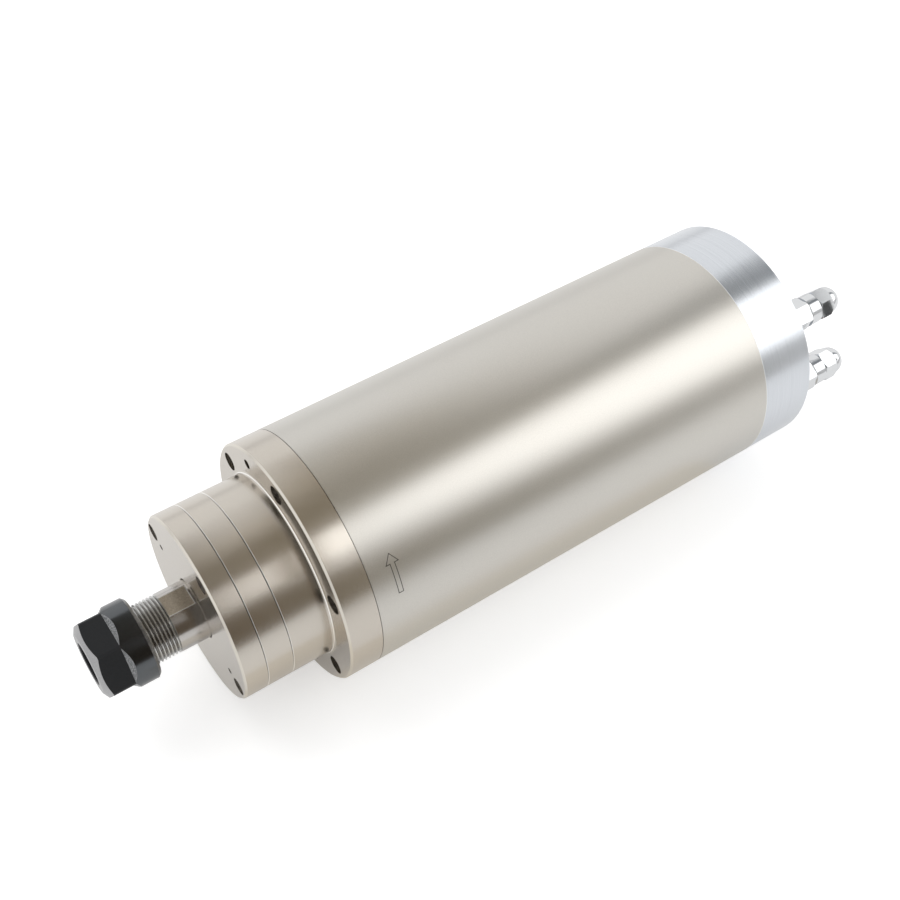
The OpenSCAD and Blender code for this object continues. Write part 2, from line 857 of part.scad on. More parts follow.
module spindle_shaft() {
    seat_end_r = collet_r - taper_len * taper + collet_gap;
    x_seat_end = x_collet_end + 1;
    x_relief_end = x_seat_end + relief_len;
    color([0.74, 0.72, 0.68])
        difference() {
            turned()
                polygon([
                    [0, x_shaft],
                    [thread_root_r - 0.4, x_shaft],
                    [thread_root_r, x_shaft + 0.4],
                    [thread_root_r, x_thread - 0.5],
                    [neck_r, x_thread],
                    [neck_r, x_cover],
                    [front_r, x_cover],
                    [front_r, x_lip],
                    [front_r + shoulder_h, x_lip],
                    [front_r + shoulder_h, x_hub],
                    [core_r, x_hub],
                    [core_r, x_core_seat],
                    [rear_r + rear_shoulder_h, x_core_seat],
                    [rear_r + rear_shoulder_h, x_bearing],
                    [rear_r, x_bearing],
                    [rear_r, x_tail - 1],
                    [rear_r - 1, x_tail],
                    [0, x_tail]
                ]);
            turned()
                polygon([
                    [0, x_shaft - 1],
                    [seat_r + taper, x_shaft - 1],
                    [seat_end_r - taper, x_seat_end],
                    [blind_d / 2 + 1.5, x_seat_end + 0.5],
                    [blind_d / 2 + 1.5, x_relief_end],
                    [blind_d / 2, x_relief_end + 1],
                    [blind_d / 2, x_relief_end + blind_len],
                    [0, x_relief_end + blind_len + blind_d / 4]
                ]);
            flat_cut();
            rotate([180, 0, 0])
                flat_cut();
        }
}

// One of the two spanner flats in the shaft's neck.
module flat_cut() {
    translate([x_thread, -thread_d, neck_r - flat_depth])
        cube([flat_len, 2 * thread_d, thread_d]);
}

module labyrinth_ring() {
    r = labyrinth_d / 2;
    g = labyrinth_groove;
    x0 = x_nose + cover_wall + run_gap;
    step = (x_cover - x0) / 4;
    color([0.66, 0.67, 0.69])
        difference() {
            ring(x0, x_cover, neck_r, r);
            for (i = [1 : 2 : 3])
                ring(x0 + i * step - g / 2, x0 + i * step + g / 2, r - g, r + 1);
        }
}

module locknut(x0, bore_r) {
    r = bore_r + locknut_t;
    color([0.22, 0.22, 0.23])
        difference() {
            ring(x0, x0 + locknut_w, bore_r, r);
            for (i = [0 : 3])
                at(i * 90 + 45, r)
                    translate([x0 - 1, -spanner_w / 2, -spanner_depth])
                        cube([locknut_w + 2, spanner_w, 2 * spanner_depth]);
        }
}

module front_locknut() {
    locknut(x_front1 - locknut_w, front_r);
}

module rear_locknut() {
    locknut(x_locknut, rear_r);
}

// Bearings

// Outer ring with one open shoulder, on the side that open_side names.
module outer_race(x0, bore, od, w, ball, open_side) {
    pitch_r = (bore + od) / 4;
    land = pitch_r + land_gap;
    step = (od / 2 - land) * 0.3;
    lead_in = open_side > 0 ? x0 + w / 2 : x0 - 1;
    color([0.76, 0.77, 0.79])
        turned()
            difference() {
                translate([land, x0])
                    square([od / 2 - land, w]);
                translate([pitch_r, x0 + w / 2])
                    circle(r = ball / 2 + ball_gap);
                translate([land - 1, lead_in])
                    square([1 + step, w / 2 + 1]);
            }
}

module inner_race(x0, bore, od, w, ball) {
    pitch_r = (bore + od) / 4;
    color([0.78, 0.79, 0.81])
        turned()
            difference() {
                translate([bore / 2, x0])
                    square([pitch_r - land_gap - bore / 2, w]);
                translate([pitch_r, x0 + w / 2])
                    circle(r = ball / 2 + ball_gap);
            }
}

module ball_row(x0, bore, od, w, ball, count) {
    color([0.86, 0.87, 0.88])
        around(count, 0, (bore + od) / 4)
            translate([x0 + w / 2, 0, 0])
                sphere(d = ball);
}

module ball_cage(x0, bore, od, w, ball, count) {
    pitch_r = (bore + od) / 4;
    half_w = ball / 2 + cage_rim;
    color([0.55, 0.42, 0.24])
        difference() {
            ring(x0 + w / 2 - half_w, x0 + w / 2 + half_w, pitch_r - cage_half, pitch_r + cage_half);
            around(count, 0, pitch_r - cage_half - 1)
                translate([x0 + w / 2, 0, 0])
                    cylinder(r = ball / 2 + ball_gap, h = 2 * cage_half + 2);
        }
}

module front_outer(x0, open_side) {
    outer_race(x0, front_bore, front_od, front_w, front_ball, open_side);
}

module front_inner(x0) {
    inner_race(x0, front_bore, front_od, front_w, front_ball);
}

module front_balls(x0) {
    ball_row(x0, front_bore, front_od, front_w, front_ball, front_ball_count);
}

module front_cage(x0) {
    ball_cage(x0, front_bore, front_od, front_w, front_ball, front_ball_count);
}

module front_bearing_1_outer() {
    front_outer(x_front1, -1);
}

module front_bearing_1_inner() {
    front_inner(x_front1);
}

module front_bearing_1_balls() {
    front_balls(x_front1);
}

module front_bearing_1_cage() {
    front_cage(x_front1);
}

module front_bearing_2_outer() {
    front_outer(x_front2, -1);
}

module front_bearing_2_inner() {
    front_inner(x_front2);
}

module front_bearing_2_balls() {
    front_balls(x_front2);
}

module front_bearing_2_cage() {
    front_cage(x_front2);
}

module outer_spacer() {
    color([0.68, 0.69, 0.71])
        ring(x_spacer, x_front2, front_od / 2 - 4, front_od / 2);
}

module inner_spacer() {
    color([0.70, 0.71, 0.73])
        ring(x_spacer, x_front2, front_r, front_r + 4);
}

module rear_bearing_outer() {
    outer_race(x_bearing, rear_bore, rear_od, rear_w, rear_ball, 1);
}

module rear_bearing_inner() {
    inner_race(x_bearing, rear_bore, rear_od, rear_w, rear_ball);
}

module rear_bearing_balls() {
    ball_row(x_bearing, rear_bore, rear_od, rear_w, rear_ball, rear_ball_count);
}

module rear_bearing_cage() {
    ball_cage(x_bearing, rear_bore, rear_od, rear_w, rear_ball, rear_ball_count);
}

// A conical spring washer that pushes the rear bearing's outer ring backwards.
module preload_washer() {
    r0 = rear_od / 2 - seat_lip_h + 0.3;
    r1 = rear_od / 2 - 0.3;
    color([0.60, 0.61, 0.63])
        turned()
            polygon([
                [r0, x_washer],
                [r1, x_bearing - washer_t],
                [r1, x_bearing],
                [r0, x_washer + washer_t]
            ]);
}

// Rear end

module rear_bearing_seat() {
    lip_r = rear_od / 2 - seat_lip_h;
    color([0.66, 0.67, 0.68])
        difference() {
            turned()
                polygon([
                    [lip_r, x_seat],
                    [hub_r, x_seat],
                    [hub_r, x_back - seat_web],
                    [jacket_ir, x_back - seat_web],
                    [jacket_ir, x_back],
                    [rear_od / 2, x_back],
                    [rear_od / 2, x_washer],
                    [lip_r, x_washer]
                ]);
            at(plug_angle, lead_r)
                bar(x_seat - 1, x_back + 1, 2 * lead_hole_r);
        }
}

module rear_cover() {
    color([0.86, 0.88, 0.91])
        difference() {
            turned()
                polygon([
                    [0, x_rear],
                    [body_r - edge_c, x_rear],
                    [body_r, x_rear - edge_c],
                    [body_r, x_back + seam_c],
                    [body_r - seam_c, x_back],
                    [space_r, x_back],
                    [space_r, x_space - 0.5],
                    [space_r - 0.5, x_space],
                    [0, x_space]
                ]);
            rear_seal_groove();
            around(rear_screw_count, rear_screw_angle, casing_screw_r)
                translate([x_rear - rear_recess_depth, 0, 0])
                    mirror([1, 0, 0])
                        screw_way(rear_len, flange_recess_d, rear_recess_depth);
            for (angle = [inlet_angle, outlet_angle]) {
                at(angle, port_r)
                    bar(x_rear - port_depth, x_rear + 1, port_d);
                at(angle, way_r)
                    bar(x_back - 1, x_rear - port_depth + 1, way_d);
            }
            at(plug_angle, plug_r) {
                bar(x_space - 1, x_rear + 1, plug_barrel_d);
                plug_corners()
                    bar(x_rear - plug_screw_len - 1, x_rear + 1, plug_screw_d);
            }
        }
}

module rear_seal_groove() {
    half = rear_seal_d / 2 + 0.2;
    ring(x_back - 1, x_back + rear_seal_d, seal_mid_r - half, seal_mid_r + half);
}

module rear_cover_seal() {
    color([0.10, 0.10, 0.10])
        turned()
            translate([seal_mid_r, x_back + rear_seal_d / 2])
                circle(d = rear_seal_d);
}

module rear_cover_screws() {
    color([0.30, 0.30, 0.31])
        around(rear_screw_count, rear_screw_angle, casing_screw_r)
            translate([x_rear - rear_recess_depth, 0, 0])
                mirror([1, 0, 0])
                    socket_screw(rear_len - rear_recess_depth + screw_bite);
}

// Collet and nut

module collet() {
    slot_run = collet_len - slot_bridge;
    x_groove_front = x_taper - collet_groove_w;
    x_rim = x_groove_front - collet_rim_w;
    color([0.72, 0.73, 0.75])
        difference() {
            turned()
                polygon([
                    [tool_d / 2, x_collet],
                    [face_r, x_collet],
                    [rim_r, x_rim],
                    [rim_r, x_groove_front],
                    [groove_r, x_groove_front],
                    [groove_r, x_taper],
                    [collet_r, x_taper],
                    [collet_r - taper_len * taper, x_collet_end],
                    [tool_d / 2, x_collet_end]
                ]);
            collet_slot_set(0, x_collet - 1, x_collet + slot_run);
            collet_slot_set(180 / collet_slots, x_taper + slot_bridge, x_collet_end + 1);
        }
}

// Slots from one end of the collet, evenly about its axis.
module collet_slot_set(first, x0, x1) {
    around(collet_slots, first + collet_slot_angle, 0)
        translate([x0, -collet_slot_w / 2, 0])
            cube([x1 - x0, collet_slot_w, collet_d]);
}

module collet_nut() {
    color([0.13, 0.13, 0.14])
        difference() {
            nut_outside();
            nut_inside();
        }
}

// A turned blank with a cone at the front and six flats milled down to the collar.
module nut_outside() {
    r = nut_d / 2;
    difference() {
        turned()
            polygon([
                [0, x_nut],
                [nut_face_d / 2, x_nut],
                [r, x_nut + nut_cone],
                [r, x_nut_end - nut_rear_c],
                [r - nut_rear_c, x_nut_end],
                [0, x_nut_end]
            ]);
        around(6, 0, 0)
            nut_flat_cut();
    }
}

// What is milled off for one flat, with the slope where it runs out into the collar.
module nut_flat_cut() {
    flat = nut_af / 2;
    top = nut_d / 2 + 1;
    rotate([90, 0, 0])
        linear_extrude(nut_d, center = true)
            polygon([
                [x_nut - 1, flat],
                [x_nut_hex, flat],
                [x_nut_hex + (top - flat) / tan(nut_runout_angle), top],
                [x_nut - 1, top]
            ]);
}

// Thread, relief, extraction lip, pressing cone and opening, from the rear to the front.
module nut_inside() {
    pocket_r = rim_r + 0.35;
    x_groove_front = x_taper - collet_groove_w;
    x_lip_front = x_groove_front + (collet_groove_w - nut_lip_w) / 2;
    x_lip_rear = x_lip_front + nut_lip_w;
    x_cone = x_groove_front - collet_rim_w - 0.1;
    lip_r = rim_r + 0.25 - nut_lip_reach;
    turned()
        polygon([
            [0, x_nut - 1],
            [nut_open_d / 2 + 1.5, x_nut - 1],
            [nut_open_d / 2, x_nut + 0.5],
            [nut_open_d / 2, x_cone - (pocket_r - nut_open_d / 2) / tan(face_cone_angle)],
            [pocket_r, x_cone],
            [pocket_r, x_lip_front],
            [lip_r, x_lip_front],
            [lip_r, x_lip_rear],
            [thread_root_r + 0.7, x_lip_rear],
            [thread_root_r + 0.7, x_shaft - 0.3],
            [nut_thread_r, x_shaft],
            [nut_thread_r, x_nut_end - 1],
            [nut_thread_r + 1, x_nut_end + 0.01],
            [0, x_nut_end + 1]
        ]);
}

// Water fittings, drawn along +X from the rear cover's face

module port_body() {
    hose_floor = x_spigot + spigot_len - hose_depth;
    color([0.85, 0.86, 0.87])
        difference() {
            union() {
                bar(-port_depth + 1, x_port_hex + 0.5, port_d);
                port_hexagon();
                bar(x_port_collar, x_spigot, port_collar_d);
                bar(x_spigot - 0.5, x_spigot + spigot_len, spigot_d);
            }
            bar(-port_depth, hose_floor + 1, water_way_d);
            bar(hose_floor, x_spigot + spigot_len + 1, hose_d);
        }
}

// The spanner hexagon, with its corners turned off at both ends.
module port_hexagon() {
    corner = port_hex_af / sqrt(3);
    flat = port_hex_af / 2;
    intersection() {
        hex_bar(x_port_hex, x_port_collar + 0.01, port_hex_af);
        turned()
            polygon([
                [0, x_port_hex],
                [flat, x_port_hex],
                [corner, x_port_hex + 0.6],
                [corner, x_port_collar - 0.6],
                [flat, x_port_collar + 0.01],
                [0, x_port_collar + 0.01]
            ]);
    }
}

module port_washer() {
    color([0.72, 0.45, 0.28])
        ring(0, port_washer_t, port_d / 2, port_hex_af / 2 + 0.4);
}

module port_ferrule() {
    r = spigot_d / 2 - 0.3;
    x1 = x_ferrule + ferrule_len;
    color([0.80, 0.66, 0.38])
        turned()
            polygon([
                [hose_d / 2, x_ferrule],
                [r, x_ferrule],
                [r, x_ferrule + ferrule_len / 2],
                [hose_d / 2 + 0.4, x1],
                [hose_d / 2, x1]
            ]);
}

// The cap nut, a chamfered hexagon with a round end that is a part of a ball.
module port_nut() {
    ball_r = (port_nut_af - port_ball_less) / 2;
    x_ball = x_port_tip - sqrt(pow(ball_r, 2) - pow(port_tip_d / 2, 2));
    inner_r = spigot_d / 2 + thread_gap;
    x_cone = x_ferrule + ferrule_len / 2 + 0.2;
    color([0.86, 0.87, 0.88])
        difference() {
            union() {
                port_nut_hexagon(x_ball);
                intersection() {
                    translate([x_ball, 0, 0])
                        sphere(ball_r);
                    bar(x_ball - 1, x_port_tip, 2 * port_nut_af);
                }
            }
            turned()
                polygon([
                    [0, x_port_nut - 1],
                    [inner_r, x_port_nut - 1],
                    [inner_r, x_cone],
                    [hose_d / 2 + 0.1, x_cone + inner_r - hose_d / 2 - 0.1],
                    [hose_d / 2 + 0.1, x_port_tip + 1],
                    [0, x_port_tip + 1]
                ]);
        }
}

// The nut's hexagon up to its ball, with its corners turned off towards the ball.
module port_nut_hexagon(x_end) {
    corner = port_nut_af / sqrt(3);
    flat = port_nut_af / 2;
    intersection() {
        hex_bar(x_port_nut, x_end, port_nut_af);
        turned()
            polygon([
                [0, x_port_nut],
                [flat, x_port_nut],
                [corner, x_port_nut + 0.6],
                [corner, x_end - 2 * (corner - flat)],
                [flat - 0.2, x_end],
                [0, x_end]
            ]);
    }
}

// Places a fitting's piece at its port.
module at_port(angle) {
    at(angle, port_r)
        translate([x_rear, 0, 0])
            children();
}

module water_inlet_body() {
    at_port(inlet_angle)
        port_body();
}

module water_inlet_washer() {
    at_port(inlet_angle)
        port_washer();
}

module water_inlet_ferrule() {
    at_port(inlet_angle)
        port_ferrule();
}

module water_inlet_nut() {
    at_port(inlet_angle)
        rotate([inlet_nut_turn, 0, 0])
            port_nut();
}

module water_outlet_body() {
    at_port(outlet_angle)
        port_body();
}

module water_outlet_washer() {
    at_port(outlet_angle)
        port_washer();
}

module water_outlet_ferrule() {
    at_port(outlet_angle)
        port_ferrule();
}

module water_outlet_nut() {
    at_port(outlet_angle)
        port_nut();
}

// Connector, drawn along +X from the rear cover's face

x_plug = plug_gasket_t;
plug_bore_r = plug_barrel_d / 2 - plug_barrel_wall;
x_plug_top = x_plug + plug_flange_t + plug_barrel_h;

// Repeats children at the four corners of the connector's screw square.
module plug_corners() {
    corner = plug_flange / 2 - plug_screw_inset;
    for (y = [-1, 1])
        for (z = [-1, 1])
            translate([0, y * corner, z * corner])
                children();
}

// A square plate with round corners, as two slabs and four rounds.
module plug_plate(x0, x1) {
    inner = plug_flange - 2 * plug_corner;
    translate([x0, -plug_flange / 2, -inner / 2])
        cube([x1 - x0, plug_flange, inner]);
    translate([x0, -inner / 2, -plug_flange / 2])
        cube([x1 - x0, inner, plug_flange]);
    for (y = [-1, 1])
        for (z = [-1, 1])
            translate([0, y * inner / 2, z * inner / 2])
                bar(x0, x1, 2 * plug_corner);
}

module at_plug() {
    at(plug_angle, plug_r)
        translate([x_rear, 0, 0])
            children();
}

module connector_shell() {
    color([0.74, 0.75, 0.77])
        at_plug()
            difference() {
                union() {
                    plug_plate(x_plug, x_plug + plug_flange_t);
                    bar(-rear_wall + 2, x_plug + 1, plug_barrel_d - 0.1);
                    bar(x_plug + 1, x_plug_top, plug_barrel_d);
                }
                bar(-rear_wall, x_plug_top + 1, 2 * plug_bore_r);
                plug_corners()
                    bar(x_plug - 1, x_plug + plug_flange_t + 1, plug_screw_d + 0.2);
            }
}

module connector_gasket() {
    color([0.10, 0.10, 0.10])
        at_plug()
            difference() {
                plug_plate(0, plug_gasket_t);
                bar(-1, plug_gasket_t + 1, plug_barrel_d);
                plug_corners()
                    bar(-1, plug_gasket_t + 1, plug_screw_d + 0.2);
            }
}

module connector_insert() {
    color([0.16, 0.15, 0.15])
        at_plug()
            difference() {
                bar(-rear_wall + 2, x_plug + plug_insert_h, 2 * plug_bore_r);
                around(pin_count, 45, pin_pcd / 2)
                    bar(-rear_wall, x_plug + plug_insert_h + 1, pin_d);
            }
}

module connector_pins() {
    color([0.86, 0.74, 0.42])
        at_plug()
            around(pin_count, 45, pin_pcd / 2) {
                bar(-rear_wall + 1, x_plug_top - plug_mouth - pin_d / 2, pin_d);
                translate([x_plug_top - plug_mouth - pin_d / 2, 0, 0])
                    sphere(d = pin_d);
            }
}

module connector_screws() {
    color([0.70, 0.71, 0.72])
        at_plug()
            plug_corners()
                difference() {
                    union() {
                        bar(-plug_screw_len, x_plug + plug_flange_t + 0.1, plug_screw_d);
                        bar(x_plug + plug_flange_t, x_plug + plug_flange_t + 1.6, plug_screw_d * 1.8);
                    }
                    hex_bar(x_plug + plug_flange_t + 0.6, x_plug + plug_flange_t + 3, plug_screw_d * 0.8);
                }
}

// A lead's straight stretch between two points.
module rod(a, b, d) {
    v = b - a;
    length = norm(v);
    translate(a)
        rotate([0, acos(v[2] / length), atan2(v[1], v[0])])
            cylinder(d = d, h = length, $fn = 12);
}

// Leads from the end turns, through the seat and across to the connector's pins.
module phase_leads() {
    x0 = x_stator_end + end_turn_len;
    x1 = x_back + 1.5;
    x3 = x_space + 1;
    x2 = x3 - lead_d;
    color([0.75, 0.20, 0.16])
        rotate([plug_angle, 0, 0])
            for (i = [0 : pin_count - 1]) {
                angle = 45 + i * 360 / pin_count;
                y = -sin(angle);
                z = cos(angle);
                near = [x1, y * lead_bunch_r, lead_r + z * lead_bunch_r];
                far = [x2, y * pin_pcd / 2, plug_r + z * pin_pcd / 2];
                rod([x0, near[1], near[2]], near + [lead_d / 3, 0, 0], lead_d);
                rod(near, far, lead_d);
                rod(far - [lead_d / 3, 0, 0], [x3, far[1], far[2]], lead_d);
            }
}

front_cover();
front_cover_screws();
bearing_clamp_ring();
front_housing();
flange_screws();
body_tube();
water_jacket();
jacket_seal_front();
jacket_seal_rear();
stator_core();
stator_windings();
rear_bearing_seat();
rear_cover();
rear_cover_screws();
rear_cover_seal();
front_bearing_1_outer();
front_bearing_1_inner();
front_bearing_1_balls();
front_bearing_1_cage();
front_bearing_2_outer();
front_bearing_2_inner();
front_bearing_2_balls();
front_bearing_2_cage();
outer_spacer();
inner_spacer();
rear_bearing_outer();
rear_bearing_inner();
rear_bearing_balls();
rear_bearing_cage();
preload_washer();
rear_locknut();
front_locknut();
labyrinth_ring();
spindle_shaft();
rotor_core();
rotor_cage();
balance_ring_front();
balance_ring_rear();
collet();
collet_nut();
water_inlet_body();
water_inlet_washer();
water_inlet_ferrule();
water_inlet_nut();
water_outlet_body();
water_outlet_washer();
water_outlet_ferrule();
water_outlet_nut();
connector_shell();
connector_gasket();
connector_insert();
connector_pins();
connector_screws();
phase_leads();
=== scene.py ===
import math

import bmesh
import bpy
from mathutils import Matrix, Vector


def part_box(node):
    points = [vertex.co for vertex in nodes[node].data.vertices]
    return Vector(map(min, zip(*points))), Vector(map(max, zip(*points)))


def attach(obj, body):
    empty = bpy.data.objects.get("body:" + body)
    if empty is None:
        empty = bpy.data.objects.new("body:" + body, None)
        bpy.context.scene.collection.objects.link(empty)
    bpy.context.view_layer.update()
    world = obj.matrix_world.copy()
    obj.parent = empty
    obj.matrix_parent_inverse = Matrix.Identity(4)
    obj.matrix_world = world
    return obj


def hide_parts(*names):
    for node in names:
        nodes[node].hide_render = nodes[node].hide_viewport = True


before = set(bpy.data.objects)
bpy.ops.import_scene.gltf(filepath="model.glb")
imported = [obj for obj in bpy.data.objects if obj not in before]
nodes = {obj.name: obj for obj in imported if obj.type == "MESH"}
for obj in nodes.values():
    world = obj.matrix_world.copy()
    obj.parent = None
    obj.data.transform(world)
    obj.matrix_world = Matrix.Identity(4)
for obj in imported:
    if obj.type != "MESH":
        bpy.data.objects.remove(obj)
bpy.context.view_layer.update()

mm = 0.001


# Points on the motor are given as a station along it, a radius and an angle from the top towards the
# camera's side.
def aroundAxis(x, radius, angle):
    a = math.radians(angle)
    return Vector((x, -radius * math.sin(a), radius * math.cos(a)))


def finishMesh(name, bm, body, material, smoothAngle=25):
    bmesh.ops.recalc_face_normals(bm, faces=bm.faces)
    for face in bm.faces:
        face.smooth = True
    for edge in bm.edges:
        edge.smooth = len(edge.link_faces) == 2 and edge.calc_face_angle(0) < math.radians(smoothAngle)
    mesh = bpy.data.meshes.new(name)
    bm.to_mesh(mesh)
    bm.free()
    piece = bpy.data.objects.new(name, mesh)
    bpy.context.scene.collection.objects.link(piece)
    mesh.materials.append(material)
    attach(piece, body)
    return piece


# Finishes
touch = 0.02 * mm  # how near a point must be to a face to count as on it


def newMaterial(name):
    material = bpy.data.materials.new(name)
    material.use_nodes = True
    return material, material.node_tree.nodes["Principled BSDF"]


def addNode(material, kind, **values):
    node = material.node_tree.nodes.new(kind)
    for key, value in values.items():
        if hasattr(node, key):
            setattr(node, key, value)
        else:
            node.inputs[key.replace("_", " ")].default_value = value
    return node


def join(material, output, socket):
    material.node_tree.links.new(output, socket)


# A value goes to a socket: the output of another node, or a plain number.
def feed(material, value, socket):
    if hasattr(value, "links"):
        join(material, value, socket)
    else:
        socket.default_value = value


def maths(material, first, kind, second=0):
    node = addNode(material, "ShaderNodeMath", operation=kind)
    feed(material, first, node.inputs[0])
    feed(material, second, node.inputs[1])
    return node.outputs[0]


# 1 where the value lies within reach of the target, and 0 elsewhere
def near(material, value, target, reach):
    off = maths(material, maths(material, value, "SUBTRACT", target), "ABSOLUTE")
    return maths(material, off, "LESS_THAN", reach)


def parted(material, vector):
    parts = addNode(material, "ShaderNodeSeparateXYZ")
    join(material, vector, parts.inputs[0])
    return parts.outputs


def objectPoint(material):
    return addNode(material, "ShaderNodeTexCoord").outputs["Object"]


def noiseAt(material, point, scale, detail):
    noise = addNode(material, "ShaderNodeTexNoise", Scale=scale, Detail=detail, Roughness=0.6)
    join(material, point, noise.inputs["Vector"])
    return noise.outputs["Fac"]


# Noise lies mostly between 0.3 and 0.7, so that is the range that gets stretched.
def ranged(material, value, low, high, fromLow=0.3, fromHigh=0.7):
    node = addNode(material, "ShaderNodeMapRange", From_Min=fromLow, From_Max=fromHigh,
                   To_Min=low, To_Max=high)
    join(material, value, node.inputs["Value"])
    return node.outputs["Result"]


def blendColours(material, share, first, second):
    mix = addNode(material, "ShaderNodeMix", data_type="RGBA")
    join(material, share, mix.inputs[0])
    for socket, colour in ((mix.inputs[6], first), (mix.inputs[7], second)):
        feed(material, colour if hasattr(colour, "links") else (*colour, 1), socket)
    return mix.outputs[2]


# Turned marks run round the axis, so their pattern reads only the station and the radius.
def turnedPoint(material, point, alongScale, radialScale):
    place = parted(material, point)
    across = addNode(material, "ShaderNodeCombineXYZ")
    join(material, place["Y"], across.inputs["X"])
    join(material, place["Z"], across.inputs["Y"])
    reach = addNode(material, "ShaderNodeVectorMath", operation="LENGTH")
    join(material, across.outputs[0], reach.inputs[0])
    packed = addNode(material, "ShaderNodeCombineXYZ")
    join(material, maths(material, place["X"], "MULTIPLY", alongScale), packed.inputs["X"])
    join(material, maths(material, reach.outputs["Value"], "MULTIPLY", radialScale), packed.inputs["Y"])
    return packed.outputs[0]


def turnedRings(material, point, scale):
    return noiseAt(material, turnedPoint(material, point, scale, scale), 1.0, 2.0)


def bumped(material, shader, height, strength, distance=0.02 * mm):
    bump = addNode(material, "ShaderNodeBump", Strength=strength, Distance=distance)
    join(material, height, bump.inputs["Height"])
    join(material, bump.outputs["Normal"], shader.inputs["Normal"])


# Chamfers that face the nose carry a painted highlight, and those that face the rear carry painted shade,
# which draws each seam as a dark and a bright line.
# The wide chamfers at the ends of the nose and the flange carry a weaker painted highlight.
chamfer = dict(slope=0.7071, slopeBand=0.1, wideReach=0.5 * mm)


def withChamfers(material, colour, look):
    if "chamferHighlight" not in look:
        return colour
    slope = parted(material, addNode(material, "ShaderNodeTexCoord").outputs["Normal"])["X"]
    facesNose = near(material, slope, -chamfer["slope"], chamfer["slopeBand"])
    colour = blendColours(material, facesNose, colour, look["chamferHighlight"])
    if "chamferShade" in look:
        facesRear = near(material, slope, chamfer["slope"], chamfer["slopeBand"])
        colour = blendColours(material, facesRear, colour, look["chamferShade"])
    for middle in look.get("wideEdges", ()):
        onEdge = near(material, parted(material, objectPoint(material))["X"], middle, chamfer["wideReach"])
        onEdge = maths(material, onEdge, "MULTIPLY", facesNose)
        colour = blendColours(material, onEdge, colour, look["wideEdgeHighlight"])
    return colour


# Blasted and plated metal: fine grain in colour, gloss and height, with faint clouding over it.
# Rings of turning show through where the look asks for them.
def blastedMetal(name, look):
    material, shader = newMaterial(name)
    point = objectPoint(material)
    grain = noiseAt(material, point, look["grainScale"], 2.0)
    cloud = noiseAt(material, point, look["cloudScale"], 3.0)
    tint = blendColours(material, ranged(material, grain, 0, 1), look["dark"], look["light"])
    clouded = blendColours(material, ranged(material, cloud, 0, look["cloudShare"]), tint, look["cloud"])
    join(material, withChamfers(material, clouded, look), shader.inputs["Base Color"])
    join(material, ranged(material, grain, *look["gloss"]), shader.inputs["Roughness"])
    shader.inputs["Metallic"].default_value = 1
    height = grain
    if "ringScale" in look:
        rings = turnedRings(material, point, look["ringScale"])
        height = maths(material, grain, "ADD", maths(material, rings, "MULTIPLY", look["ringShare"]))
    bumped(material, shader, height, look["bump"])
    return material


# Turned metal: fine rings round the axis, on the cylinders and on the end faces.
def turnedMetal(name, look):
    material, shader = newMaterial(name)
    rings = turnedRings(material, objectPoint(material), look["ringScale"])
    tint = blendColours(material, ranged(material, rings, 0, 1), look["dark"], look["light"])
    join(material, withChamfers(material, tint, look), shader.inputs["Base Color"])
    join(material, ranged(material, rings, *look["gloss"]), shader.inputs["Roughness"])
    shader.inputs["Metallic"].default_value = look.get("metal", 1)
    bumped(material, shader, rings, look["bump"], 0.01 * mm)
    return material


# Moulded and cast stuff: a soft mottle and a low bump.
def mottled(name, look):
    material, shader = newMaterial(name)
    mottle = noiseAt(material, objectPoint(material), look["scale"], 4.0)
    tint = blendColours(material, ranged(material, mottle, 0, 1), look["dark"], look["light"])
    join(material, tint, shader.inputs["Base Color"])
    join(material, ranged(material, mottle, *look["gloss"]), shader.inputs["Roughness"])
    shader.inputs["Metallic"].default_value = look.get("metal", 0)
    bumped(material, shader, mottle, look["bump"], 0.03 * mm)
    return material
